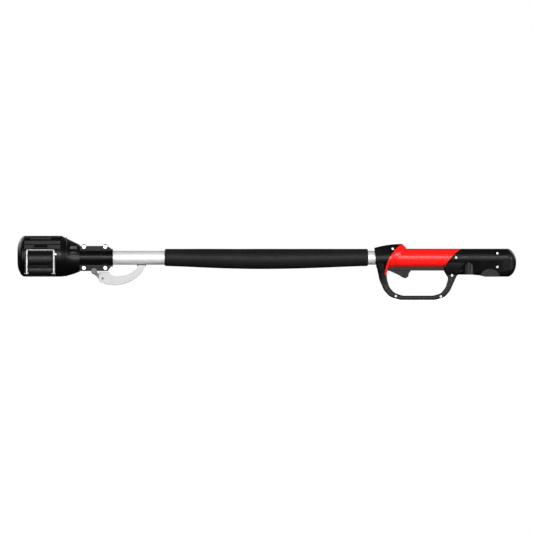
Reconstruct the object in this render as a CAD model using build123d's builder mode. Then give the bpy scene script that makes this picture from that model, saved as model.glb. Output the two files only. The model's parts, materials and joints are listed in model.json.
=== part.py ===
"""Long-reach grabber: a 36-inch pole with a trigger handle at the back, a sprung finger under the
front of the pole, and a round head with a nose socket and a bay door behind a wire bail.

Frame, in millimetres: X runs along the pole from the nose to the butt, Z is up, and the near side
faces -Y. The origin is the centre of the nose socket's mouth. The pole's own axis lies a little
below the head's axis, so heights on the pole and handle are given from the pole axis.
"""

from build123d import *
import math
import os

os.makedirs("parts", exist_ok=True)

# ---------------------------------------------------------------- driving dimensions
LENGTH = 914.4  # 36 inches, nose to butt
POLE_DROP = 2.8  # the pole axis lies this far under the head axis
TUBE_R = 12.7  # 1-inch tube
TUBE_WALL = 1.6
TUBE_FRONT = 112.0
TUBE_BACK = 692.0
FIT = 0.05  # radial clearance of a pin or rod in its hole

HEAD_R = 37.5
HEAD_WALL = 4.6  # leaves a wall behind the ledges
HEAD_FRONT = 4.0  # the shells start here, behind the nose ring
HEAD_BACK = 80.5  # the cone starts here
NECK_BACK = 174.8
NECK_R = 16.0
FLANGE_HALF = 9.0  # half thickness of the clamping flanges
SOCKET_R = 14.0
SOCKET_WALL = 2.5
SOCKET_DEPTH = 59.5
SOCKET_BACK = 62.0

BAY_X = (14.0, 70.4)
BAY_FRONT = 38.5  # front plane of the bay frame, from the split plane
BAY_HINGE = (37.6, -31.5)  # distance to the near side, height from the head axis
DOOR_X = (20.9, 63.2)
DOOR_Z = (-34.4, 7.8)
BAIL_R = 1.65
BAIL_X = (17.5, 67.0)
BAIL_TOP = 11.4
BAIL_OUT = 40.5

FINGER_PIVOT = (140.4, -24.8)
FINGER_HALF = 3.5
LEVER_HALF = 1.5
ROD_R = 2.0
ROD_H = -3.0  # height of the pull rod from the pole axis
ROD_TRAVEL = 9.7
CRANK_PIVOT = (724.0, -15.0)
CRANK_HALF = 2.0
PIN_R = 1.5

GRIP_R = 17.2
GRIP_H = -0.6  # height of the grip's centre
CORE_R = 15.0
CHAMBER_R = 13.0
KEEL_HALF = 6.5
KEEL_BOTTOM = -23.5
CHANNEL_HALF = 4.3
GUARD_HALF = 8.5
SKIRT_FRONT = 800.0
SKIRT_DROP_FROM = 832.0  # the skirt gets deeper from here
SKIRT_FOOT_R = 7.0
SKIRT_FOOT_H = -24.0  # height of the foot's centre in front
SKIRT_BOTTOM = -34.7
BUTT_FOOT_R = 14.0
FLARE_FROM = 872.0  # the skirt widens from here to the butt
FLARE_TO = 893.0
TRIGGER_PIVOT = (682.0, -19.0)
TRIGGER_HALF = 3.9
BUTT_SEAM = 900.0
STRAP_X = 866.0
STRAP_R = 6.0


# ---------------------------------------------------------------- planes and helpers
def side_plane(near=0.0):
    """Plane parallel to the split, looking from the near side: x along the pole, y is height."""
    return Plane(origin=(0, -near, -POLE_DROP), x_dir=(1, 0, 0), z_dir=(0, -1, 0))


def cross_plane(x):
    """Plane square to the pole at x: its own x is Y, its own y is height from the pole axis."""
    return Plane(origin=(x, 0, -POLE_DROP), x_dir=(0, 1, 0), z_dir=(1, 0, 0))


def head_plane(x):
    """Plane square to the head at x, centred on the head axis."""
    return Plane(origin=(x, 0, 0), x_dir=(0, 1, 0), z_dir=(1, 0, 0))


def save(built, name):
    """Label a finished sub-part and write it."""
    built.part.label = name
    export_step(built.part, f"parts/{name}.step")


def rod_section(x_from, x_to, radius, height=0.0, mode=Mode.ADD):
    """A round bar along the pole between two places."""
    with BuildSketch(cross_plane(x_from)) as outline:
        with Locations((0, height)):
            Circle(radius)
    extrude(outline.sketch, amount=x_to - x_from, mode=mode)


def cross_bar(point, radius, near_from, near_to, mode=Mode.ADD):
    """A round bar across the pole, between two distances to the near side."""
    with BuildSketch(side_plane(near_from)) as outline:
        with Locations(point):
            Circle(radius)
    extrude(outline.sketch, amount=near_to - near_from, mode=mode)


def slab(x_range, h_range, near_from, near_to, mode=Mode.ADD):
    """A rectangular block, with heights from the pole axis."""
    mid = ((x_range[0] + x_range[1]) / 2, (h_range[0] + h_range[1]) / 2)
    with BuildSketch(side_plane(near_from)) as outline:
        with Locations(mid):
            Rectangle(x_range[1] - x_range[0], h_range[1] - h_range[0])
    extrude(outline.sketch, amount=near_to - near_from, mode=mode)


def head_bar(x_from, x_to, near, height, radius, mode=Mode.ADD):
    """A round bar along the head, placed by its distance to the near side and its height."""
    with BuildSketch(head_plane(x_from)) as outline:
        with Locations((-near, height)):
            Circle(radius)
    extrude(outline.sketch, amount=x_to - x_from, mode=mode)


def head_block(x_range, near_range, z_range, mode=Mode.ADD):
    """A rectangular block on the head, between two distances to the near side."""
    with BuildSketch(head_plane(x_range[0])) as outline:
        with Locations((-(near_range[0] + near_range[1]) / 2, (z_range[0] + z_range[1]) / 2)):
            Rectangle(near_range[1] - near_range[0], z_range[1] - z_range[0])
    extrude(outline.sketch, amount=x_range[1] - x_range[0], mode=mode)


# ---------------------------------------------------------------- head
CLAMP_SCREWS = [(121.6, 19.8), (161.0, 19.8), (121.6, -18.7), (161.0, -18.7)]
BARREL_SCREW = (70.0, 6.0)
SOCKET_OUT = SOCKET_R + SOCKET_WALL


# ring around the start of the cone
with BuildPart() as bead_form:
    with BuildSketch(head_plane(87.4)):
        with Locations((0, -1.2)):
            Ellipse(34.8, 35.9)
    extrude(amount=3.0)
    fillet(bead_form.edges(), 1.3)


def head_outside():
    """Barrel, leaning cone, neck and clamping flanges, as one outer form."""
    with BuildSketch(Plane.XZ) as barrel:
        with BuildLine():
            Line((HEAD_FRONT, 0), (HEAD_FRONT, 28.9))
            ThreePointArc((HEAD_FRONT, 28.9), (7.2, 34.6), (12.4, HEAD_R))
            Polyline((12.4, HEAD_R), (HEAD_BACK, HEAD_R), (HEAD_BACK, 0), (HEAD_FRONT, 0))
        make_face()
    revolve(barrel.sketch, axis=Axis.X)
    # the cone leans down, so that its underside runs into the lower flange
    sections = []
    for x, centre, half_height, half_width in (
        (HEAD_BACK, 0.0, HEAD_R, HEAD_R),
        (96.0, -2.4, 32.2, 29.0),
        (114.0, -3.6, 24.6, 17.5),
    ):
        with BuildSketch(head_plane(x)) as section:
            with Locations((0, centre)):
                Ellipse(half_width, half_height)
        sections.append(section.sketch)
    loft(sections)
    add(bead_form.part)
    rod_section(110.0, NECK_BACK, NECK_R)
    with BuildSketch(side_plane(-FLANGE_HALF)) as flange:
        with BuildLine():
            Polyline(
                (112, 21.7), (165, 21.7), (174, 15), (174, -13), (165, -24.3), (112, -24.3), (112, 21.7)
            )
        make_face()
    extrude(flange.sketch, amount=2 * FLANGE_HALF)
    for screw in CLAMP_SCREWS:
        cross_bar(screw, 5.0, -FLANGE_HALF - 0.6, FLANGE_HALF + 0.6)
    cross_bar(FINGER_PIVOT, 5.6, -FLANGE_HALF, FLANGE_HALF)


def head_inside():
    """Hollow of the barrel, the bulkhead behind the socket, the tube's seat and the lever's slot."""
    inner = HEAD_R - HEAD_WALL
    with BuildSketch(Plane.XZ) as hollow:
        with BuildLine():
            Polyline((7, 0), (7, 32), (12, inner), (SOCKET_BACK, inner), (SOCKET_BACK, 0), (7, 0))
        make_face()
        with BuildLine():
            Polyline((64.5, 0), (64.5, inner), (78, inner), (98, 19), (98, 0), (64.5, 0))
        make_face()
    revolve(hollow.sketch, axis=Axis.X, mode=Mode.SUBTRACT)
    head_bar(0, 20, 0, 0, SOCKET_OUT, mode=Mode.SUBTRACT)
    rod_section(TUBE_FRONT - 2, NECK_BACK + 1, TUBE_R, mode=Mode.SUBTRACT)
    slab((126.0, 154.0), (-31.0, 0.0), -LEVER_HALF - 0.5, LEVER_HALF + 0.5, mode=Mode.SUBTRACT)


def cone_bars():
    """Flat-faced bars that follow the cone on both sides."""
    for z_from, z_to, out_front, out_back in (
        (13.0, 18.5, 25.2, 16.6),
        (5.2, 7.7, 29.2, 21.0),
        (0.2, 2.2, 30.0, 22.0),
    ):
        for side in (-1, 1):
            with BuildSketch(Plane.XY.offset(z_from)) as bar:
                with BuildLine():
                    Polyline(
                        (96.5, 10 * side),
                        (96.5, out_front * side),
                        (109.0, out_back * side),
                        (109.0, 10 * side),
                        (96.5, 10 * side),
                    )
                make_face()
            extrude(bar.sketch, amount=z_to - z_from)


def bay_frame():
    """Square frame for the door on the near side, standing out from the round barrel."""
    head_block(BAY_X, (10.5, BAY_FRONT), (-36.0, 11.6))


def bay_cuts():
    """Seat for the door, window for its pad and room for the bail's feet."""
    hinge_near, hinge_z = BAY_HINGE
    head_block((DOOR_X[0] - 0.5, DOOR_X[1] + 0.5), (31.2, 60), (-40, DOOR_Z[1] + 0.5), mode=Mode.SUBTRACT)
    head_block((26, 58), (15, 60), (-14, 6.9), mode=Mode.SUBTRACT)
    for x in BAIL_X:
        head_block((x - 2.2, x + 2.2), (hinge_near - 5, 60), (hinge_z - 9, hinge_z + 5), mode=Mode.SUBTRACT)


def head_shell(near):
    """One half of the head: near or far side of the split."""
    with BuildPart() as shell:
        head_outside()
        cone_bars()
        # low strip along the top, with a square edge on each side
        head_block((24.0, 61.0), (-21.2, 21.2), (31.2, 34.0))
        # a flat-faced rail along each side
        head_block((13, 79), (22.0, 30.6), (22.2, 28.4))
        head_block((13, 79), (-30.6, -22.0), (22.2, 28.4))
        if near:
            bay_frame()
        head_inside()
        # the ledge under each rail
        head_block((13, 79), (31.2, 60), (13.6, 21.4), mode=Mode.SUBTRACT)
        head_block((13, 79), (-60, -31.2), (13.6, 21.4), mode=Mode.SUBTRACT)
        if near:
            bay_cuts()
            head_bar(0, 90, *BAY_HINGE, 1.25, mode=Mode.SUBTRACT)
        cross_bar(BARREL_SCREW, 4.2, -36.0, 36.0)
        cross_bar(BARREL_SCREW, 1.5, -13.0, 45.0, mode=Mode.SUBTRACT)
        cross_bar(BARREL_SCREW, 2.6, 36.4, 45.0, mode=Mode.SUBTRACT)
        for screw in CLAMP_SCREWS:
            cross_bar(screw, 2.0, -15.0, 15.0, mode=Mode.SUBTRACT)
        cross_bar(FINGER_PIVOT, 2.0, -15.0, 15.0, mode=Mode.SUBTRACT)
        split(bisect_by=Plane.XZ, keep=Keep.TOP if near else Keep.BOTTOM)
    return shell


head_shell_near = head_shell(near=True)
save(head_shell_near, "head_shell_near")
head_shell_far = head_shell(near=False)
save(head_shell_far, "head_shell_far")

with BuildPart() as nose_ring:
    with BuildSketch(Plane.XZ):
        with BuildLine():
            Polyline((HEAD_FRONT, 28.9), (HEAD_FRONT, SOCKET_OUT), (0.3, SOCKET_OUT), (0.3, 17.6))
            ThreePointArc((0.3, 17.6), (1.7, 24.2), (HEAD_FRONT, 28.9))
        make_face()
    revolve(axis=Axis.X)
save(nose_ring, "nose_ring")

with BuildPart() as socket_sleeve:
    with BuildSketch(head_plane(0)):
        Circle(SOCKET_OUT)
    extrude(amount=SOCKET_BACK)
    with BuildSketch(head_plane(0)):
        Circle(SOCKET_R)
    extrude(amount=SOCKET_DEPTH, mode=Mode.SUBTRACT)
    # window that the door's pad reaches through
    with BuildSketch(Plane(origin=(0, -20, 0), x_dir=(1, 0, 0), z_dir=(0, -1, 0))):
        with Locations((42, -4.5)):
            Rectangle(30, 16)
    extrude(amount=-20, mode=Mode.SUBTRACT)
save(socket_sleeve, "socket_sleeve")

with BuildPart() as barrel_screw:
    cross_bar(BARREL_SCREW, 1.5, -13.0, 36.4)
    cross_bar(BARREL_SCREW, 2.4, 36.4, 38.2)
    fillet(barrel_screw.faces().sort_by(Axis.Y)[0].edges(), 1.2)
save(barrel_screw, "barrel_screw")

# ---------------------------------------------------------------- bay door and wire bail
door_width = DOOR_X[1] - DOOR_X[0]
with BuildPart() as bay_door:
    with BuildSketch(Plane(origin=(DOOR_X[0], 0, 0), x_dir=(0, 1, 0), z_dir=(1, 0, 0))):
        with BuildLine():
            Polyline((-33, 7.8), (-33, -34.4), (-38.4, -34.4), (-39.6, -33.0))
            ThreePointArc((-39.6, -33.0), (-41.0, -26), (-39.6, -19.4))
            Polyline((-39.6, -19.4), (-38.6, -18.4), (-38.6, -17.2), (-39.6, -16.2))
            ThreePointArc((-39.6, -16.2), (-41.6, -6), (-39.6, 4.2))
            Polyline((-39.6, 4.2), (-37.8, 7.8), (-33, 7.8))
        make_face()
    extrude(amount=door_width)
    with BuildSketch(Plane(origin=(DOOR_X[0], 0, 0), x_dir=(0, 1, 0), z_dir=(1, 0, 0))):
        with Locations((-BAY_HINGE[0], BAY_HINGE[1])):
            Circle(1.25 + FIT)
    extrude(amount=door_width, mode=Mode.SUBTRACT)
save(bay_door, "bay_door")

with BuildPart() as door_pad:
    with BuildSketch(Plane(origin=(30, 0, 0), x_dir=(0, 1, 0), z_dir=(1, 0, 0))):
        with BuildLine():
            Polyline(
                (-33, -9.5), (-33, -0.5), (-18, -0.5), (-14.8, -3.0), (-14.4, -6.5), (-16, -9.5), (-33, -9.5)
            )
        make_face()
    extrude(amount=24)
save(door_pad, "door_pad")

with BuildPart() as door_hinge_pin:
    with BuildSketch(Plane(origin=(BAY_X[0], 0, 0), x_dir=(0, 1, 0), z_dir=(1, 0, 0))):
        with Locations((-BAY_HINGE[0], BAY_HINGE[1])):
            Circle(1.25)
    extrude(amount=BAY_X[1] - BAY_X[0])
save(door_hinge_pin, "door_hinge_pin")

with BuildPart() as wire_bail:
    with BuildLine() as bail_path:
        FilletPolyline(
            (BAIL_X[0], -BAIL_OUT, BAY_HINGE[1] - 0.5),
            (BAIL_X[0], -BAIL_OUT, BAIL_TOP),
            (BAIL_X[1], -BAIL_OUT, BAIL_TOP),
            (BAIL_X[1], -BAIL_OUT, BAY_HINGE[1] - 0.5),
            radius=2.4,
        )
    with BuildSketch(Plane(origin=bail_path.wire() @ 0, z_dir=bail_path.wire() % 0)):
        Circle(BAIL_R)
    sweep()
    for x in BAIL_X:
        with BuildSketch(Plane(origin=(x - 1.6, 0, 0), x_dir=(0, 1, 0), z_dir=(1, 0, 0))):
            with Locations((-BAY_HINGE[0], BAY_HINGE[1])):
                Circle(3.7)
        extrude(amount=3.2)
        with BuildSketch(Plane(origin=(x - 3, 0, 0), x_dir=(0, 1, 0), z_dir=(1, 0, 0))):
            with Locations((-BAY_HINGE[0], BAY_HINGE[1])):
                Circle(1.25 + FIT)
        extrude(amount=6, mode=Mode.SUBTRACT)
save(wire_bail, "wire_bail")

with BuildPart() as bail_catch:
    with BuildSketch(Plane(origin=(31, 0, 0), x_dir=(0, 1, 0), z_dir=(1, 0, 0))):
        with BuildLine():
            Polyline((-31.2, 20.6), (-31.2, 13.8), (-40.2, 13.8), (-41.2, 14.8))
            ThreePointArc((-41.2, 14.8), (-39.6, 18.4), (-35.5, 20.6))
            Line((-35.5, 20.6), (-31.2, 20.6))
        make_face()
    extrude(amount=24)
    fillet(bail_catch.edges().filter_by(Axis.Z).sort_by(Axis.Y)[:2], 0.8)
save(bail_catch, "bail_catch")

# ---------------------------------------------------------------- clamp fasteners
with BuildPart() as clamp_screws:
    for screw in CLAMP_SCREWS:
        cross_bar(screw, 2.0, -14.4, FLANGE_HALF + 0.6)
        with BuildSketch(side_plane(FLANGE_HALF + 0.6)):
            with Locations(screw):
                Circle(4.5)
        extrude(amount=2.6, taper=24)
        with BuildSketch(side_plane(FLANGE_HALF + 2.2)):
            with Locations(screw):
                Rectangle(3.6, 0.9)
                Rectangle(0.9, 3.6)
        extrude(amount=2, mode=Mode.SUBTRACT)
save(clamp_screws, "clamp_screws")

with BuildPart() as clamp_washers:
    for screw in CLAMP_SCREWS:
        cross_bar(screw, 4.6, -FLANGE_HALF - 1.6, -FLANGE_HALF - 0.6)
        cross_bar(screw, 2.0 + FIT, -FLANGE_HALF - 1.6, -FLANGE_HALF - 0.6, mode=Mode.SUBTRACT)
save(clamp_washers, "clamp_washers")

with BuildPart() as clamp_nuts:
    for screw in CLAMP_SCREWS:
        with BuildSketch(side_plane(-FLANGE_HALF - 4.8)):
            with Locations(screw):
                RegularPolygon(3.5, 6, major_radius=False)
                Circle(2.0, mode=Mode.SUBTRACT)
        extrude(amount=3.2)
save(clamp_nuts, "clamp_nuts")

# ---------------------------------------------------------------- finger
with BuildPart() as finger:
    with BuildSketch(side_plane(-FINGER_HALF)) as finger_outline:
        with BuildLine():
            Polyline((233.3, -13.9), (221.0, -13.9), (220.4, -18.0))
            ThreePointArc((220.4, -18.0), (201.0, -30.8), (177.0, -33.3))
            ThreePointArc((177.0, -33.3), (171.0, -30.6), (167.5, -25.6))
            Polyline((167.5, -25.6), (149.2, -25.6), (149.2, -43.0), (152.0, -44.6))
            ThreePointArc((152.0, -44.6), (195.0, -48.0), (232.0, -20.6))
            Line((232.0, -20.6), (233.3, -13.9))
        make_face()
        fillet(finger_outline.vertices(), 1.2)
    extrude(amount=2 * FINGER_HALF)
    fillet(finger.edges().filter_by(lambda e: abs(e.center().Y) > FINGER_HALF - 0.01), 1.0)
    slab((149.0, 164.0), (-42.0, -28.0), -LEVER_HALF, LEVER_HALF, mode=Mode.SUBTRACT)
    cross_bar((156.0, -37.7), PIN_R, -5.0, 5.0, mode=Mode.SUBTRACT)
save(finger, "finger")

lever_pin = (FINGER_PIVOT[0] - ROD_TRAVEL / 2, ROD_H)
lever_lean = math.degrees(math.atan2(ROD_TRAVEL / 2, ROD_H - FINGER_PIVOT[1]))
with BuildPart() as finger_lever:
    arm_plane = side_plane(-LEVER_HALF)
    with BuildSketch(arm_plane):
        with BuildLine():
            Polyline(
                (FINGER_PIVOT[0] - 3.2, FINGER_PIVOT[1]),
                (lever_pin[0] - 3.4, lever_pin[1] + 0.6),
                (lever_pin[0] - 0.6, lever_pin[1] + 4.6),
                (lever_pin[0] + 3.4, lever_pin[1] + 1.4),
                (FINGER_PIVOT[0] + 3.6, FINGER_PIVOT[1] + 1.0),
                (148.0, -29.0),
                (164.0, -28.0),
                (164.0, -42.0),
                (152.0, -42.0),
                (FINGER_PIVOT[0] - 1.5, FINGER_PIVOT[1] - 4.0),
                (FINGER_PIVOT[0] - 3.2, FINGER_PIVOT[1]),
            )
        make_face()
        with Locations(FINGER_PIVOT):
            Circle(4.6)
            Circle(2.0 + FIT, mode=Mode.SUBTRACT)
        # slot for the rod's pin, along the arm
        with Locations(Location((lever_pin[0], lever_pin[1], 0), (0, 0, 90 + lever_lean))):
            SlotOverall(5.2, 2 * PIN_R + 0.8, mode=Mode.SUBTRACT)
        with Locations((156.0, -37.7)):
            Circle(PIN_R, mode=Mode.SUBTRACT)
    extrude(amount=2 * LEVER_HALF)
save(finger_lever, "finger_lever")

with BuildPart() as finger_rivet:
    cross_bar((156.0, -37.7), PIN_R, -FINGER_HALF, FINGER_HALF)
    cross_bar((156.0, -37.7), 2.2, FINGER_HALF, FINGER_HALF + 0.6)
    cross_bar((156.0, -37.7), 2.2, -FINGER_HALF - 0.6, -FINGER_HALF)
save(finger_rivet, "finger_rivet")

with BuildPart() as finger_pivot_washer:
    cross_bar(FINGER_PIVOT, 5.6, FLANGE_HALF, FLANGE_HALF + 1.0)
    cross_bar(FINGER_PIVOT, 2.0 + FIT, FLANGE_HALF, FLANGE_HALF + 1.0, mode=Mode.SUBTRACT)
save(finger_pivot_washer, "finger_pivot_washer")

with BuildPart() as finger_pivot_bolt:
    cross_bar(FINGER_PIVOT, 2.0, -14.5, FLANGE_HALF + 1.0)
    cross_bar(FINGER_PIVOT, 4.3, FLANGE_HALF + 1.0, FLANGE_HALF + 4.0)
    fillet(finger_pivot_bolt.faces().sort_by(Axis.Y)[0].edges(), 0.7)
    with BuildSketch(side_plane(FLANGE_HALF + 2.0)):
        with Locations(FINGER_PIVOT):
            RegularPolygon(2.4, 6, major_radius=False)
    extrude(amount=4, mode=Mode.SUBTRACT)
save(finger_pivot_bolt, "finger_pivot_bolt")

with BuildPart() as finger_pivot_nut:
    with BuildSketch(side_plane(-FLANGE_HALF - 4.2)):
        with Locations(FINGER_PIVOT):
            RegularPolygon(4.0, 6, major_radius=False)
            Circle(2.0, mode=Mode.SUBTRACT)
    extrude(amount=4.2)
save(finger_pivot_nut, "finger_pivot_nut")

with BuildPart() as tip_rest:
    rod_section(219.2, 235.4, TUBE_R + 0.8)
    slab((219.2, 235.4), (-14.0, -10.5), -4.5, 4.5, mode=Mode.INTERSECT)
    slab((219.2, 220.6), (-15.6, -10.5), -4.5, 4.5)
    slab((234.0, 235.4), (-15.6, -10.5), -4.5, 4.5)
    rod_section(200, 250, TUBE_R, mode=Mode.SUBTRACT)
save(tip_rest, "tip_rest")

# ---------------------------------------------------------------- pole and what is inside it
LOCK_PIN = (668.0, 7.0)
tube_bore = TUBE_R - TUBE_WALL
with BuildPart() as pole_tube:
    rod_section(TUBE_FRONT, TUBE_BACK, TUBE_R)
    rod_section(TUBE_FRONT, TUBE_BACK, tube_bore, mode=Mode.SUBTRACT)
    slab((126.0, 154.0), (-14.0, -8.0), -LEVER_HALF - 0.5, LEVER_HALF + 0.5, mode=Mode.SUBTRACT)
    cross_bar(LOCK_PIN, 2.0, -20, 20, mode=Mode.SUBTRACT)
save(pole_tube, "pole_tube")

with BuildPart() as tube_plug:
    rod_section(TUBE_FRONT, 122.0, tube_bore)
    rod_section(110.0, TUBE_FRONT, TUBE_R)
save(tube_plug, "tube_plug")

GUIDES = (200.0, 400.0, 610.0)
with BuildPart() as rod_guides:
    for x in GUIDES:
        rod_section(x, x + 8, tube_bore)
        rod_section(x, x + 8, ROD_R + FIT, ROD_H, mode=Mode.SUBTRACT)
save(rod_guides, "rod_guides")

rod_front = lever_pin[0] + 7
crank_lean = math.degrees(math.atan2(ROD_TRAVEL / 2, ROD_H - CRANK_PIVOT[1]))
crank_pin = (CRANK_PIVOT[0] - ROD_TRAVEL / 2, ROD_H)
rod_back = crank_pin[0] - 7
with BuildPart() as pull_rod:
    rod_section(rod_front, rod_back, ROD_R, ROD_H)
save(pull_rod, "pull_rod")


def clevis(pin, towards, half_gap):
    """Fork on the end of the rod: a socket for the rod and two cheeks either side of a lever."""
    with BuildPart() as fork:
        cheek = half_gap + 0.5 + 1.6
        x_pair = sorted((pin[0] - 3.2 * towards, pin[0] + 12 * towards))
        slab(x_pair, (pin[1] - 3.2, pin[1] + 3.2), -cheek, cheek)
        gap = sorted((pin[0] - 4 * towards, pin[0] + 6.5 * towards))
        slab(gap, (pin[1] - 4, pin[1] + 4), -half_gap - 0.5, half_gap + 0.5, mode=Mode.SUBTRACT)
        rod_pair = sorted((pin[0] + 7 * towards, pin[0] + 13 * towards))
        rod_section(rod_pair[0], rod_pair[1], ROD_R, pin[1], mode=Mode.SUBTRACT)
        cross_bar(pin, PIN_R, -cheek - 1, cheek + 1, mode=Mode.SUBTRACT)
    return fork


save(clevis(lever_pin, 1, LEVER_HALF), "rod_clevis_front")
save(clevis(crank_pin, -1, CRANK_HALF), "rod_clevis_rear")

with BuildPart() as rod_pins:
    for pin, half in ((lever_pin, LEVER_HALF + 2.1), (crank_pin, CRANK_HALF + 2.1)):
        cross_bar(pin, PIN_R, -half, half)
save(rod_pins, "rod_pins")

SPRING_FRONT = 566.0
with BuildPart() as rod_collar:
    rod_section(SPRING_FRONT - 5, SPRING_FRONT, 6.0, ROD_H)
    rod_section(SPRING_FRONT - 5, SPRING_FRONT, ROD_R, ROD_H, mode=Mode.SUBTRACT)
save(rod_collar, "rod_collar")

spring_length = GUIDES[2] - SPRING_FRONT - 1.4
with BuildPart() as return_spring:
    with BuildLine() as coil:
        start = (SPRING_FRONT + 0.7, 0, ROD_H - POLE_DROP)
        Helix(pitch=spring_length / 9, height=spring_length, radius=4.2, center=start, direction=(1, 0, 0))
    with BuildSketch(Plane(origin=coil.wire() @ 0, z_dir=coil.wire() % 0)):
        Circle(0.6)
    sweep(is_frenet=True)
save(return_spring, "return_spring")

# ---------------------------------------------------------------- foam sleeve
FOAM = (269.6, 642.8)
FOAM_END_R = 15.85
FOAM_SAG = 2.75  # how much further the underside hangs at the middle
with BuildPart() as foam_grip:
    for x, sag in ((FOAM[0], 0), (360, 0.8), (448, 1.0), (545, 0.75), (FOAM[1], 0)):
        with BuildSketch(cross_plane(x)):
            with Locations((0, 0.55 - FOAM_SAG * sag)):
                Circle(FOAM_END_R + FOAM_SAG * sag)
    loft()
    rod_section(FOAM[0] - 1, FOAM[1] + 1, TUBE_R, mode=Mode.SUBTRACT)
save(foam_grip, "foam_grip")

# ---------------------------------------------------------------- handle: shared forms
FLANGE_FRONT = (747.0, -35.35, 74.1)  # circle that bounds the slanting flange in front: x, height, radius
FLANGE_REAR = (745.5, -36.0, 68.7)
REAR_EDGE = (863.2, -59.6, 90.9)  # circle that bounds the grip at its rear
BAND_REAR = (752.0, -36.0, 66.0)
FLANGE_FOOT = -37.0
FLANGE_FOOT_R = 11.5
# screws on the near side: x, height, distance from the split plane to the surface there
HANDLE_SCREWS = [
    (688.0, 16.5, 12.8),
    (804.1, 0.4, 17.2),
    (796.6, -32.5, GUARD_HALF),
    (776.2, -70.8, GUARD_HALF),
    (693.5, -70.4, GUARD_HALF),
    (879.5, 8.1, 14.8),
    (879.7, -16.9, 12.6),
]
SCREW_SEAT = 3.0  # the heads sit this deep
SCREW_WELL_R = 3.0
SCREW_HEAD_R = 2.2


def disc_across(circle, half, mode=Mode.ADD):
    """Round block across the pole, given by its side-view circle."""
    cross_bar((circle[0], circle[1]), circle[2], -half, half, mode=mode)


def pear(top_r, top_h, foot_r, foot_h):
    """Outline of two circles, one over the other, joined by their tangents."""
    lean = math.degrees(math.asin((top_r - foot_r) / (top_h - foot_h)))
    with BuildLine() as outline:
        top = CenterArc((0, top_h), top_r, -lean, 180 + 2 * lean)
        foot = CenterArc((0, foot_h), foot_r, 180 + lean, 180 - 2 * lean)
        Line(top @ 0, foot @ 1)
        Line(foot @ 0, top @ 1)
    make_face(outline.edges())


# slanting flange at the front of the grip: it goes round the core and straddles the keel
with BuildPart() as flange_form:
    disc_across(FLANGE_FRONT, 30)
    disc_across(FLANGE_REAR, 30, mode=Mode.SUBTRACT)
    with BuildSketch(cross_plane(670)):
        pear(15.0, 10.4, 21.0, -2.0)
        pear(21.0, -2.0, FLANGE_FOOT_R, FLANGE_FOOT + FLANGE_FOOT_R)
    extrude(amount=50, mode=Mode.INTERSECT)
    # lower band behind it, which leads down to the grip
    with BuildPart(mode=Mode.PRIVATE) as band:
        disc_across(FLANGE_REAR, 30)
        disc_across(BAND_REAR, 30, mode=Mode.SUBTRACT)
        with BuildSketch(cross_plane(670)):
            with Locations((0, 3.4)):
                Ellipse(19.2, 22.0)
        extrude(amount=60, mode=Mode.INTERSECT)
    add(band.part)
    with BuildSketch(side_plane(-30)):
        with BuildLine():
            Polyline((704.8, 26), (714.6, 16.2), (760, 16.2), (760, 40), (704.8, 40), (704.8, 26))
        make_face()
    extrude(amount=60, mode=Mode.SUBTRACT)
    rod_section(660, 730, CORE_R, GRIP_H, mode=Mode.SUBTRACT)
    slab((660, 730), (KEEL_BOTTOM, -10), -KEEL_HALF, KEEL_HALF, mode=Mode.SUBTRACT)

# collar that grips the tube, narrower at its top, growing towards the flange
with BuildPart() as collar_form:
    for x, top_r, top_h, foot_r, foot_h in (
        (653.6, 13.5, 4.6, 16.5, -1.5),
        (676.0, 13.5, 9.6, 18.5, -1.0),
        (708.0, 13.5, 11.9, 20.0, -2.0),
    ):
        with BuildSketch(cross_plane(x)):
            pear(top_r, top_h, foot_r, foot_h)
    loft()
    disc_across(FLANGE_FRONT, 30, mode=Mode.SUBTRACT)
    # its front face leans back
    with BuildSketch(side_plane(-30)):
        with BuildLine():
            Polyline((640, 30), (652.8, 30), (659.2, -30), (640, -30), (640, 30))
        make_face()
    extrude(amount=60, mode=Mode.SUBTRACT)

# broad front leg, faired from the collar down into the guard
with BuildPart() as leg_form:
    for height, x_from, x_to, width, radius in (
        (-4.0, 655.6, 675.0, 33.0, 9.0),
        (-22.0, 659.6, 677.0, 26.0, 7.0),
        (-38.0, 663.4, 677.4, 19.6, 5.5),
        (-54.0, 670.6, 682.4, 17.0, 4.5),
    ):
        with BuildSketch(Plane.XY.offset(height - POLE_DROP)):
            with Locations(((x_from + x_to) / 2, 0)):
                RectangleRounded(x_to - x_from, width, radius)
    loft()

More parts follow.
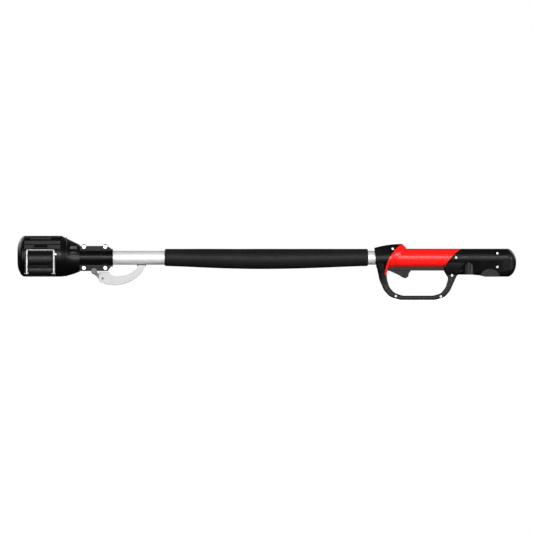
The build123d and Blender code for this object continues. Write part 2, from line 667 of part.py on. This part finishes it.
# D-shaped hand guard: an open loop whose two ends run up into the handle
GUARD_OUTER = [
    ((659.5, -6.0), None),
    ((662.4, -38.0), 40.0),
    ((671.8, -60.0), 24.0),
    ((684.0, -72.8), 22.0),
    ((702.0, -77.4), 30.0),
    ((766.0, -77.4), 30.0),
    ((783.0, -72.6), 18.0),
    ((793.0, -60.5), 26.0),
    ((806.0, -31.5), 12.0),
    ((822.0, -22.0), 8.0),
    ((822.0, -6.0), None),
]
GUARD_INNER = [
    ((782.0, -6.0), None),
    ((782.0, -25.0), 5.0),
    ((789.9, -37.0), 8.0),
    ((785.6, -53.0), 16.0),
    ((776.4, -65.4), 14.0),
    ((762.0, -69.5), 20.0),
    ((706.0, -69.5), 24.0),
    ((691.0, -64.5), 20.0),
    ((681.5, -53.5), 22.0),
    ((677.2, -38.0), 30.0),
    ((677.2, -6.0), None),
]
with BuildPart() as guard_form:
    with BuildSketch(side_plane(-GUARD_HALF)):
        with BuildLine():
            outer = FilletPolyline(*(p for p, _ in GUARD_OUTER), radius=[r for _, r in GUARD_OUTER if r])
            inner = FilletPolyline(*(p for p, _ in GUARD_INNER), radius=[r for _, r in GUARD_INNER if r])
            Line(outer @ 1, inner @ 0)
            Line(inner @ 1, outer @ 0)
        make_face()
    extrude(amount=2 * GUARD_HALF)
    on_sides = guard_form.edges().filter_by(lambda e: abs(abs(e.center().Y) - GUARD_HALF) < 0.01)
    fillet(on_sides.filter_by(lambda e: e.center().Z < -6.5 - POLE_DROP), 2.6)
    slab((640, 677.3), (-14.0, 0), -GUARD_HALF, GUARD_HALF, mode=Mode.SUBTRACT)

# rear leg of the guard, faired up into the sides of the barrel
with BuildPart() as rear_leg_form:
    for height, x_from, x_to, width in (
        (-4.0, 774.0, 828.0, 31.0),
        (-18.0, 778.0, 815.0, 27.0),
        (-32.0, 789.5, 807.5, 17.0),
    ):
        with BuildSketch(Plane.XY.offset(height - POLE_DROP)):
            with Locations(((x_from + x_to) / 2, 0)):
                RectangleRounded(x_to - x_from, width, 3.0)
    loft()

# rear barrel, skirt and butt
with BuildPart() as rear_form:
    add(rear_leg_form.part)
    rod_section(775.0, BUTT_SEAM, GRIP_R, GRIP_H)
    # the skirt narrows downwards
    with BuildSketch(cross_plane(SKIRT_FRONT)):
        pear(GRIP_R, GRIP_H, SKIRT_FOOT_R, SKIRT_FOOT_H)
    extrude(amount=SKIRT_DROP_FROM - SKIRT_FRONT)
    disc_across(REAR_EDGE, 30, mode=Mode.INTERSECT)
    # it gets deeper towards the strap socket
    for x, foot_h in ((SKIRT_DROP_FROM, SKIRT_FOOT_H), (FLARE_FROM, SKIRT_BOTTOM + SKIRT_FOOT_R)):
        with BuildSketch(cross_plane(x)):
            pear(GRIP_R, GRIP_H, SKIRT_FOOT_R, foot_h)
    loft()
    # flared foot towards the butt
    for x, foot_r in ((FLARE_FROM, SKIRT_FOOT_R), (FLARE_TO, BUTT_FOOT_R)):
        with BuildSketch(cross_plane(x)):
            pear(GRIP_R, GRIP_H, foot_r, SKIRT_BOTTOM + foot_r)
    loft()
    with BuildSketch(cross_plane(FLARE_TO)):
        pear(GRIP_R, GRIP_H, BUTT_FOOT_R, SKIRT_BOTTOM + BUTT_FOOT_R)
    extrude(amount=BUTT_SEAM - FLARE_TO)
    # upright boss with an arched top on each side
    for side in (-1, 1):
        with BuildSketch(Plane.XY.offset(-31.0 - POLE_DROP)):
            with Locations((827.7, 5.0 * side)):
                Circle(10.1)
        extrude(amount=26)
    # stepped arched cheeks around the strap socket
    for radius, half in ((19.5, 14.4), (15.2, 16.9)):
        with BuildSketch(side_plane(-half)):
            with Locations((STRAP_X, -40.0)):
                Circle(radius)
            with Locations((STRAP_X, -84.8)):
                Rectangle(100, 100, mode=Mode.SUBTRACT)
            with BuildLine():
                Polyline((840, -30.9), (840, -40), (858, -40), (858, -34.8), (840, -30.9))
            make_face(mode=Mode.SUBTRACT)
        extrude(amount=2 * half)

# everything that the two shells leave free inside
with BuildPart() as handle_hollow:
    rod_section(650.0, TUBE_BACK, TUBE_R)
    rod_section(TUBE_BACK, 792.0, CHAMBER_R, GRIP_H)
    slab((677.9, 694.0), (KEEL_BOTTOM - 1, -14.8), -CHANNEL_HALF, CHANNEL_HALF)
    slab((693.0, 735.0), (KEEL_BOTTOM + 1.5, -2.0), -CHANNEL_HALF, CHANNEL_HALF)
    slab((677.9, 722.2), (KEEL_BOTTOM - 1, -15.0), -CHANNEL_HALF, CHANNEL_HALF)
    rod_section(814.0, 872.0, CHAMBER_R, GRIP_H)
    rod_section(890.0, BUTT_SEAM + 1, 12.0, GRIP_H)
    with BuildSketch(Plane.XY.offset(-36.0 - POLE_DROP)):
        with Locations((STRAP_X, 0)):
            Circle(9.0)
    extrude(amount=18)

PIN_HALF = KEEL_HALF - 0.9  # the pins end under the keel's skin
PINS = [(TRIGGER_PIVOT, PIN_R, PIN_HALF), (CRANK_PIVOT, PIN_R, PIN_HALF), (LOCK_PIN, 2.0, 14.2)]


def handle_shell(near):
    """One half of the handle, near or far side of the split."""
    with BuildPart() as shell:
        for form in (collar_form, leg_form, guard_form, rear_form):
            add(form.part)
        rod_section(672.0, 860.0, CORE_R, GRIP_H)
        slab((672.0, 785.0), (KEEL_BOTTOM, -10.0), -KEEL_HALF, KEEL_HALF)
        add(flange_form.part, mode=Mode.SUBTRACT)
        add(handle_hollow.part, mode=Mode.SUBTRACT)
        for pin, radius, half in PINS:
            cross_bar(pin, radius, -half, half, mode=Mode.SUBTRACT)
        for x, height, out in HANDLE_SCREWS:
            cross_bar((x, height), PIN_R, -out + 2.5, out + 5, mode=Mode.SUBTRACT)
            cross_bar((x, height), SCREW_WELL_R, out - SCREW_SEAT, out + 8, mode=Mode.SUBTRACT)
        split(bisect_by=Plane.XZ, keep=Keep.TOP if near else Keep.BOTTOM)
    return shell


handle_shell_near = handle_shell(near=True)
save(handle_shell_near, "handle_shell_near")
handle_shell_far = handle_shell(near=False)
save(handle_shell_far, "handle_shell_far")

with BuildPart() as handle_screws:
    for x, height, out in HANDLE_SCREWS:
        cross_bar((x, height), PIN_R, -out + 2.5, out - SCREW_SEAT)
        cross_bar((x, height), SCREW_HEAD_R, out - SCREW_SEAT, out - 1.0)
        with BuildSketch(side_plane(out - 1.8)):
            with Locations((x, height)):
                Rectangle(3.0, 0.7)
                Rectangle(0.7, 3.0)
        extrude(amount=2, mode=Mode.SUBTRACT)
save(handle_screws, "handle_screws")

for (pin, radius, half), name in zip(PINS, ("trigger_pin", "crank_pin", "tube_lock_pin")):
    with BuildPart() as cross_pin:
        cross_bar(pin, radius, -half, half)
    save(cross_pin, name)

# ---------------------------------------------------------------- grip, end cap, strap socket
with BuildPart() as red_grip:
    rod_section(660.0, 747.0, GRIP_R, GRIP_H)
    disc_across(FLANGE_FRONT, 30, mode=Mode.INTERSECT)
    rod_section(746.0, 820.0, GRIP_R, GRIP_H)
    disc_across(REAR_EDGE, 30, mode=Mode.SUBTRACT)
    rod_section(660.0, 830.0, CORE_R, GRIP_H, mode=Mode.SUBTRACT)
    slab((660.0, 830.0), (KEEL_BOTTOM, -10.0), -KEEL_HALF, KEEL_HALF, mode=Mode.SUBTRACT)
    add(rear_form.part, mode=Mode.SUBTRACT)
    add(guard_form.part, mode=Mode.SUBTRACT)
    add(flange_form.part)
save(red_grip, "red_grip")

CAP_MIDDLE = 896.0
cap_depth = LENGTH - CAP_MIDDLE
with BuildPart() as end_cap:
    for angle in (12.6, 30, 45, 58, 70, 79, 85):
        scale = math.cos(math.radians(angle)) / math.cos(math.radians(12.6))
        with BuildSketch(cross_plane(CAP_MIDDLE + cap_depth * math.sin(math.radians(angle)))):
            pear(GRIP_R * scale, -9.0 + 8.4 * scale, 14.0 * scale, -9.0 - 11.7 * scale)
    loft()
    rod_section(890.0, 902.0, 12.0, GRIP_H)
    rod_section(890.0, 903.0, 9.0, GRIP_H, mode=Mode.SUBTRACT)
save(end_cap, "end_cap")

with BuildPart() as strap_socket:
    with BuildSketch(Plane.XY.offset(-34.8 - POLE_DROP)):
        with Locations((STRAP_X, 0)):
            Circle(9.0)
    extrude(amount=16.8)
    with BuildSketch(Plane.XY.offset(-34.8 - POLE_DROP)):
        with Locations((STRAP_X, 0)):
            Circle(STRAP_R)
    extrude(amount=14.0, mode=Mode.SUBTRACT)
save(strap_socket, "strap_socket")

# ---------------------------------------------------------------- trigger and bell crank
with BuildPart() as trigger:
    with BuildSketch(side_plane(-TRIGGER_HALF)):
        with BuildLine():
            Polyline(
                (678.7, -19.0),
                (680.0, -15.9),
                (685.0, -16.2),
                (700.0, -21.4),
                (706.5, -21.2),
                (709.0, -20.4),
                (711.5, -20.4),
                (713.0, -22.5),
                (720.6, -23.0),
                (720.6, -24.6),
                (717.2, -29.2),
            )
            ThreePointArc((717.2, -29.2), (714.6, -36.0), (710.0, -37.5))
            Polyline(
                (710.0, -37.5),
                (706.5, -36.5),
                (699.0, -31.8),
                (684.0, -24.9),
                (679.4, -23.6),
                (678.7, -19.0),
            )
        make_face()
    extrude(amount=2 * TRIGGER_HALF)
    # channel in its back for the crank's arm
    slab((712.4, 724.0), (-29.0, -15.0), -CRANK_HALF - 0.5, CRANK_HALF + 0.5, mode=Mode.SUBTRACT)
    cross_bar(TRIGGER_PIVOT, PIN_R + FIT, -6, 6, mode=Mode.SUBTRACT)
save(trigger, "trigger")

CRANK_TOE = (711.0, -17.5)
with BuildPart() as bell_crank:
    with BuildSketch(side_plane(-CRANK_HALF)):
        with BuildLine():
            Polyline(
                (CRANK_PIVOT[0] + 3.6, CRANK_PIVOT[1] + 1.0),
                (crank_pin[0] + 3.2, crank_pin[1] + 2.6),
                (crank_pin[0] - 2.0, crank_pin[1] + 4.4),
                (crank_pin[0] - 3.4, crank_pin[1] + 0.2),
                (CRANK_PIVOT[0] - 5.0, CRANK_PIVOT[1] + 2.6),
                (CRANK_TOE[0], CRANK_TOE[1] + 2.0),
                (CRANK_TOE[0], CRANK_TOE[1] - 2.0),
                (CRANK_PIVOT[0], CRANK_PIVOT[1] - 3.8),
                (CRANK_PIVOT[0] + 3.6, CRANK_PIVOT[1] + 1.0),
            )
        make_face()
        with Locations(CRANK_PIVOT):
            Circle(3.9)
        with Locations(CRANK_TOE):
            Circle(2.0)
        with Locations(CRANK_PIVOT):
            Circle(PIN_R + FIT, mode=Mode.SUBTRACT)
        with Locations(Location((crank_pin[0], crank_pin[1], 0), (0, 0, 90 + crank_lean))):
            SlotOverall(5.6, 2 * PIN_R + 0.8, mode=Mode.SUBTRACT)
    extrude(amount=2 * CRANK_HALF)
save(bell_crank, "bell_crank")
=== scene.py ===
import json
import math

import bpy
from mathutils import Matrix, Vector, noise


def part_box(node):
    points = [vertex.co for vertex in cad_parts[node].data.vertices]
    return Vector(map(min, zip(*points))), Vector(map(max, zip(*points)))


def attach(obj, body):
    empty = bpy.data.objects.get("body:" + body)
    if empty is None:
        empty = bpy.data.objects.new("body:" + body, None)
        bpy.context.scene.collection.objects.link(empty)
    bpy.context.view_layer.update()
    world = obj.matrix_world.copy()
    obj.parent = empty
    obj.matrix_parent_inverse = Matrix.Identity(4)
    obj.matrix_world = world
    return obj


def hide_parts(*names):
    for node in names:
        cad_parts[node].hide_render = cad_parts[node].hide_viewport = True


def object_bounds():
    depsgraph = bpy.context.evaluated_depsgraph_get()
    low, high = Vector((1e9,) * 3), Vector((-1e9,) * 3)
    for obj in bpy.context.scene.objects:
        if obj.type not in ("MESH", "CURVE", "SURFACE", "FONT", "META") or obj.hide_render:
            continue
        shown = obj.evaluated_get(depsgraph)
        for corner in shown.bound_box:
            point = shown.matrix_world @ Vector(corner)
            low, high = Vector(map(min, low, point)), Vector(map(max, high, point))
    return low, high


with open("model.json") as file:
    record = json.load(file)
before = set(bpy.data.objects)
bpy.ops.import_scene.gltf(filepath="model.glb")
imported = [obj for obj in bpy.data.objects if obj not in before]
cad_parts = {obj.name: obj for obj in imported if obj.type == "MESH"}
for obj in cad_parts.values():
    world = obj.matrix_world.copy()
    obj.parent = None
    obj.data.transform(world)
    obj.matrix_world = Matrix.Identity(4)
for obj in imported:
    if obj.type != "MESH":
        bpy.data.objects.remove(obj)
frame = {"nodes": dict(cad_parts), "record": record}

cad_low, cad_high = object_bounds()
NODES = frame["nodes"]
SLOT_OF = {part["node"]: part["material_slot"] for part in frame["record"]["subparts"]}


# ---------------------------------------------------------------- node helpers
NOISE_ROUGHNESS = 0.55


class Builder:
    """A new material with its Principled shader, and short calls for the usual nodes."""

    def __init__(self, name):
        self.material = bpy.data.materials.new(name)
        self.material.use_nodes = True
        self.tree = self.material.node_tree
        self.shader = self.tree.nodes["Principled BSDF"]
        self.place = self.tree.nodes.new("ShaderNodeTexCoord").outputs["Object"]

    def node(self, kind, **settings):
        """A new node with its settings."""
        made = self.tree.nodes.new(kind)
        for name, value in settings.items():
            setattr(made, name, value)
        return made

    def link(self, source, target):
        self.tree.links.new(source, target)

    def stretched(self, scale):
        """The place coordinates, stretched along each axis."""
        made = self.node("ShaderNodeMapping")
        made.inputs["Scale"].default_value = scale
        self.link(self.place, made.inputs["Vector"])
        return made.outputs["Vector"]

    def noise(self, scale, detail=3.0, place=None):
        """Soft cloudy noise from 0 to 1."""
        made = self.node("ShaderNodeTexNoise")
        made.inputs["Scale"].default_value = scale
        made.inputs["Detail"].default_value = detail
        made.inputs["Roughness"].default_value = NOISE_ROUGHNESS
        self.link(place or self.place, made.inputs["Vector"])
        return made.outputs["Fac"]

    def cells(self, scale, place):
        """Distance to the middle of the nearest cell."""
        made = self.node("ShaderNodeTexVoronoi", feature="F1")
        made.inputs["Scale"].default_value = scale
        self.link(place, made.inputs["Vector"])
        return made.outputs["Distance"]

    def ramp(self, factor, stops):
        """Colour along a factor; stops are (position, colour)."""
        made = self.node("ShaderNodeValToRGB")
        bar = made.color_ramp
        for index, (position, colour) in enumerate(stops):
            stop = bar.elements[index] if index < 2 else bar.elements.new(position)
            stop.position = position
            stop.color = (*colour, 1.0)
        self.link(factor, made.inputs["Fac"])
        return made.outputs["Color"]

    def span(self, factor, low, high, from_low=0.3, from_high=0.7):
        """The factor's middle range spread between two values."""
        made = self.node("ShaderNodeMapRange")
        made.inputs["From Min"].default_value = from_low
        made.inputs["From Max"].default_value = from_high
        made.inputs["To Min"].default_value = low
        made.inputs["To Max"].default_value = high
        self.link(factor, made.inputs["Value"])
        return made.outputs["Result"]

    def bump(self, height, strength, distance, after=None):
        """A bump in metres of height; after is the normal that it adds to."""
        made = self.node("ShaderNodeBump")
        made.inputs["Strength"].default_value = strength
        made.inputs["Distance"].default_value = distance
        self.link(height, made.inputs["Height"])
        if after is not None:
            self.link(after, made.inputs["Normal"])
        return made.outputs["Normal"]

    def soft_edges(self, radius):
        """A normal that rounds the moulding's edges."""
        made = self.node("ShaderNodeBevel", samples=4)
        made.inputs["Radius"].default_value = radius
        return made.outputs["Normal"]

    def finish(self, colour, roughness, normal, **sockets):
        """Links the worked-out colour, roughness and normal, and sets the uniform sockets."""
        self.link(colour, self.shader.inputs["Base Color"])
        self.link(roughness, self.shader.inputs["Roughness"])
        self.link(normal, self.shader.inputs["Normal"])
        for name, value in sockets.items():
            self.shader.inputs[name.replace("_", " ")].default_value = value
        return self.material


def grey(value, tint=(1.0, 1.0, 1.0)):
    """A grey, with a slight tint if one is given."""
    return tuple(value * part for part in tint)


# ---------------------------------------------------------------- materials
def moulded(name, colour, *, rough, grain, depth, specular, edge=0.0005, haze=0.25):
    """Moulded plastic: fine spark-eroded grain, cloudy gloss and soft edges.

    grain is the grain's scale and depth its height; haze is how far the colour drifts.
    """
    made = Builder(name)
    cloud = made.noise(28.0, detail=4.0)
    light = tuple(min(1.0, part * (1 + haze)) for part in colour)
    dark = tuple(part * (1 - haze) for part in colour)
    tone = made.ramp(cloud, [(0.3, dark), (0.7, light)])
    gloss = made.span(made.noise(90.0, detail=5.0), rough * 0.85, rough * 1.18)
    edges = made.soft_edges(edge)
    fine = made.bump(made.noise(grain, detail=2.0), 0.5, depth, after=edges)
    return made.finish(tone, gloss, fine, Specular_IOR_Level=specular)


def anodised_tube(name):
    """Pale satin anodised tube: fine lengthwise draw lines over a slightly cloudy skin."""
    made = Builder(name)
    lines = made.noise(1.0, detail=4.0, place=made.stretched((3.0, 1400.0, 1400.0)))
    tone = made.ramp(lines, [(0.25, grey(0.84)), (0.75, grey(0.95))])
    gloss = made.span(made.noise(70.0, detail=5.0), 0.38, 0.48)
    drawn = made.bump(lines, 0.2, 0.00002)
    return made.finish(tone, gloss, drawn, Metallic=0.42, Specular_IOR_Level=0.3)


def closed_cell_foam(name):
    """Closed-cell foam: pores, a slightly polished skin, cloudy wear where hands slide."""
    made = Builder(name)
    along = made.stretched((0.55, 1.0, 1.0))
    pores = made.cells(1500.0, place=along)
    coarse = made.cells(620.0, place=along)
    wear = made.noise(14.0, detail=5.0)
    tone = made.ramp(wear, [(0.3, grey(0.008)), (0.7, grey(0.012))])
    gloss = made.span(made.noise(60.0, detail=5.0), 0.46, 0.58)
    deep = made.bump(coarse, 0.35, 0.00009)
    fine = made.bump(pores, 0.6, 0.00006, after=deep)
    return made.finish(tone, gloss, fine, Specular_IOR_Level=0.14)


def metal(name, colour, rough, lines=(1.0, 1.0, 1.0), scale=500.0):
    """Metal with fine working marks, stretched along the given axes."""
    made = Builder(name)
    marks = made.noise(scale, detail=4.0, place=made.stretched(lines))
    dull = tuple(part * 0.8 for part in colour)
    tone = made.ramp(marks, [(0.3, dull), (0.7, colour)])
    gloss = made.span(marks, rough * 0.8, rough * 1.25)
    edges = made.soft_edges(0.0002)
    normal = made.bump(marks, 0.25, 0.00002, after=edges)
    return made.finish(tone, gloss, normal, Metallic=1.0)


def rubber(name, value):
    """Soft rubber with a dusty matt skin."""
    made = Builder(name)
    dust = made.noise(240.0, detail=5.0)
    tone = made.ramp(dust, [(0.35, grey(value * 0.8)), (0.75, grey(value * 1.4))])
    gloss = made.span(dust, 0.6, 0.8)
    normal = made.bump(made.noise(1800.0), 0.5, 0.00004, after=made.soft_edges(0.0003))
    return made.finish(tone, gloss, normal, Specular_IOR_Level=0.3)


MATERIALS = {
    "head_plastic": moulded(
        "head_plastic",
        grey(0.003),
        rough=0.32,
        grain=1700.0,
        depth=0.00003,
        specular=0.16,
        edge=0.0002,
    ),
    "handle_plastic": moulded(
        "handle_plastic", grey(0.004), rough=0.4, grain=1300.0, depth=0.00004, specular=0.18
    ),
    "red_plastic": moulded(
        "red_plastic",
        (0.92, 0.012, 0.01),
        rough=0.3,
        grain=1500.0,
        depth=0.00002,
        specular=0.3,
        haze=0.04,
    ),
    "pale_plastic": moulded(
        "pale_plastic",
        grey(0.5, (1.0, 1.01, 1.02)),
        rough=0.42,
        grain=1400.0,
        depth=0.00003,
        specular=0.3,
        haze=0.03,
    ),
    "guide_plastic": moulded(
        "guide_plastic",
        grey(0.7, (1.0, 0.99, 0.94)),
        rough=0.5,
        grain=900.0,
        depth=0.00003,
        specular=0.4,
        haze=0.05,
    ),
    "pale_tube": anodised_tube("pale_tube"),
    "light_alloy": metal("light_alloy", grey(0.7), 0.34, (0.1, 1.0, 1.0), 900.0),
    "foam": closed_cell_foam("foam"),
    "soft_rubber": rubber("soft_rubber", 0.02),
    "steel": metal("steel", grey(0.42), 0.36, (0.15, 1.0, 1.0), 900.0),
    "steel_dark": metal("steel_dark", grey(0.1), 0.36),
    "screw_zinc": metal("screw_zinc", grey(0.9, (0.99, 1.0, 1.02)), 0.22, scale=1100.0),
}
# pieces given a duller, darker metal than the rest of their slot: painted shade for the recesses
# the handle screws sit in and the shadow on the finger pivot washer
SHADE_DARKENED_LOOK = {"finger_pivot_washer": "steel_dark", "handle_screws": "steel"}

for node, piece in NODES.items():
    piece.data.materials.clear()
    piece.data.materials.append(MATERIALS[SHADE_DARKENED_LOOK.get(node, SLOT_OF[node])])


# ---------------------------------------------------------------- foam sleeve
RINGS_ALONG = 300
POINTS_ROUND = 96
END_ROUND = 0.0028  # radius of the sleeve's end edges
END_STEPS = 6
END_SLIM = 0.00275  # how much thinner the sleeve is at its ends than at its middle
BORE_CLEAR = 0.0001
SAG_PEAK = 0.478  # where along the sleeve it hangs lowest
SAG_SHAPE = 1.25  # above 1, the sag gathers towards its peak
SWELL = 0.00018  # height of the soft waves left by hands
SWELL_BELOW = 0.6  # holds most of the waves inside the outline
WAVES_ALONG = 16.0
WAVES_ROUND = 0.9


def foam_sleeve():
    """The sleeve as one closed skin: end edge, long outside, end edge and the tube's bore."""
    low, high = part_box("foam_grip")
    tube_low, tube_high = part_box("pole_tube")
    axis = (tube_low.z + tube_high.z) / 2
    bore = (tube_high.y - tube_low.y) / 2 + BORE_CLEAR
    top = high.z
    mid_radius = (high.z - low.z) / 2
    end_radius = mid_radius - END_SLIM
    front = [
        (low.x + END_ROUND * (1 - math.cos(turn)), END_ROUND * (1 - math.sin(turn)))
        for turn in (math.pi / 2 * k / END_STEPS for k in range(END_STEPS + 1))
    ]
    back = [(low.x + high.x - x, drop) for x, drop in reversed(front)]
    middle = [
        (front[-1][0] + (back[0][0] - front[-1][0]) * k / RINGS_ALONG, 0.0)
        for k in range(1, RINGS_ALONG)
    ]
    rings = []
    for x, drop in front + middle + back:
        share = (x - low.x) / (high.x - low.x)
        lean = share / SAG_PEAK if share < SAG_PEAK else (1 - share) / (1 - SAG_PEAK)
        sag = math.sin(max(0.0, min(1.0, lean)) * math.pi / 2) ** SAG_SHAPE
        radius = end_radius + (mid_radius - end_radius) * sag
        rings.append((x, radius - drop, top - radius, True))
    rings.append((high.x, bore, axis, False))
    rings.append((low.x, bore, axis, False))
    points, faces = [], []
    for x, radius, height, outside in rings:
        for step in range(POINTS_ROUND):
            turn = 2 * math.pi * step / POINTS_ROUND
            across = Vector((0.0, math.cos(turn), math.sin(turn)))
            swell = 0.0
            if outside:
                place = Vector((x * WAVES_ALONG, across.y * WAVES_ROUND, across.z * WAVES_ROUND))
                swell = SWELL * (noise.noise(place) - SWELL_BELOW)
            reach = radius + swell
            points.append((x, across.y * reach, height + across.z * reach))
    count = len(rings)
    for ring in range(count):
        following = (ring + 1) % count
        for step in range(POINTS_ROUND):
            beside = (step + 1) % POINTS_ROUND
            faces.append(
                (
                    ring * POINTS_ROUND + step,
                    ring * POINTS_ROUND + beside,
                    following * POINTS_ROUND + beside,
                    following * POINTS_ROUND + step,
                )
            )
    mesh = bpy.data.meshes.new("foam_sleeve")
    mesh.from_pydata(points, [], faces)
    mesh.validate()
    mesh.polygons.foreach_set("use_smooth", [True] * len(mesh.polygons))
    sleeve = bpy.data.objects.new("foam_sleeve", mesh)
    bpy.context.scene.collection.objects.link(sleeve)
    mesh.materials.append(MATERIALS["foam"])
    return sleeve


sleeve = foam_sleeve()
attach(sleeve, "frame")
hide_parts("foam_grip")

# ---------------------------------------------------------------- floor, light and camera
centre = (cad_low + cad_high) / 2
length = cad_high.x - cad_low.x

FLOOR_SIZE = 60.0
FLOOR_GAP = 0.0005
floor_mesh = bpy.data.meshes.new("floor")
half = FLOOR_SIZE / 2
floor_mesh.from_pydata(
    [(-half, -half, 0), (half, -half, 0), (half, half, 0), (-half, half, 0)], [], [(0, 1, 2, 3)]
)
floor = bpy.data.objects.new("floor", floor_mesh)
floor.location = (centre.x, 0, cad_low.z - FLOOR_GAP)
bpy.context.scene.collection.objects.link(floor)
# white paper that glows, so that it is as pale as the sky
paper = Builder("floor_paper")
paper_tone = paper.ramp(paper.noise(3.0, detail=2.0), [(0.3, grey(0.93)), (0.7, grey(0.96))])
paper_gloss = paper.span(paper.noise(40.0), 0.85, 0.95)
paper_normal = paper.bump(paper.noise(400.0), 0.05, 0.0001)
floor_mesh.materials.append(
    paper.finish(paper_tone, paper_gloss, paper_normal, Specular_IOR_Level=0.0)
)
paper.shader.inputs["Emission Color"].default_value = (1, 1, 1, 1)
paper.shader.inputs["Emission Strength"].default_value = 1.0
floor.visible_glossy = False
floor.visible_diffuse = False

# the sky is white to look at, and gives only a dim fill
FILL = 0.012
world = bpy.data.worlds.new("studio")
bpy.context.scene.world = world
world.use_nodes = True
sky = world.node_tree
background = sky.nodes["Background"]
background.inputs["Color"].default_value = (1, 1, 1, 1)
path = sky.nodes.new("ShaderNodeLightPath")
strength = sky.nodes.new("ShaderNodeMapRange")
strength.inputs["To Min"].default_value = FILL
strength.inputs["To Max"].default_value = 1.0
sky.links.new(path.outputs["Is Camera Ray"], strength.inputs["Value"])
sky.links.new(strength.outputs["Result"], background.inputs["Strength"])


def softbox(name, azimuth, elevation, distance, width, height, brightness):
    """A soft light that faces the object's centre; azimuth 0 is the camera's side.

    brightness is that of its face, so a wider light gives more.
    """
    lamp = bpy.data.lights.new(name, "AREA")
    lamp.shape = "RECTANGLE"
    lamp.size, lamp.size_y = width, height
    lamp.energy = brightness * math.pi * width * height
    rig = bpy.data.objects.new(name, lamp)
    turn, lift = math.radians(azimuth), math.radians(elevation)
    level = math.cos(lift)
    way = Vector((math.sin(turn) * level, -math.cos(turn) * level, math.sin(lift)))
    rig.location = centre + way * distance
    rig.rotation_mode = "QUATERNION"
    rig.rotation_quaternion = way.to_track_quat("Z", "Y")
    bpy.context.scene.collection.objects.link(rig)


# name, azimuth, elevation, distance, width, height, brightness
for light in (
    ("front_light", 0, -5, 2.6, 4.0, 0.8, 2.3),
    ("strip_light", 0, 14, 2.3, 2.6, 0.26, 26.0),
    ("left_light", -62, 6, 2.0, 0.5, 0.8, 9.0),
    ("right_light", 64, 4, 2.0, 0.5, 0.5, 26.0),
    ("top_light", 0, 90, 2.4, 3.0, 2.0, 0.04),
    ("back_left_light", -138, 24, 2.4, 2.0, 1.4, 2.6),
    ("back_right_light", 138, 24, 2.4, 2.0, 1.4, 2.6),
):
    softbox(*light)

LENS = 800.0
SENSOR = 36.0
FRAMING = 1.0711  # picture width over the object's length
CAMERA_ASIDE = -0.0007
CAMERA_RISE = 0.0016
FURTHEST_SEEN = 100.0
camera_data = bpy.data.cameras.new("camera")
camera_data.lens = LENS
camera_data.sensor_width = SENSOR
camera = bpy.data.objects.new("camera", camera_data)
camera.location = (
    centre.x + CAMERA_ASIDE,
    -length * FRAMING * LENS / SENSOR,
    centre.z + CAMERA_RISE,
)
camera.rotation_euler = (math.radians(90), 0, 0)
camera_data.clip_end = FURTHEST_SEEN
bpy.context.scene.collection.objects.link(camera)
bpy.context.scene.camera = camera
bpy.context.scene.view_settings.view_transform = "Standard"
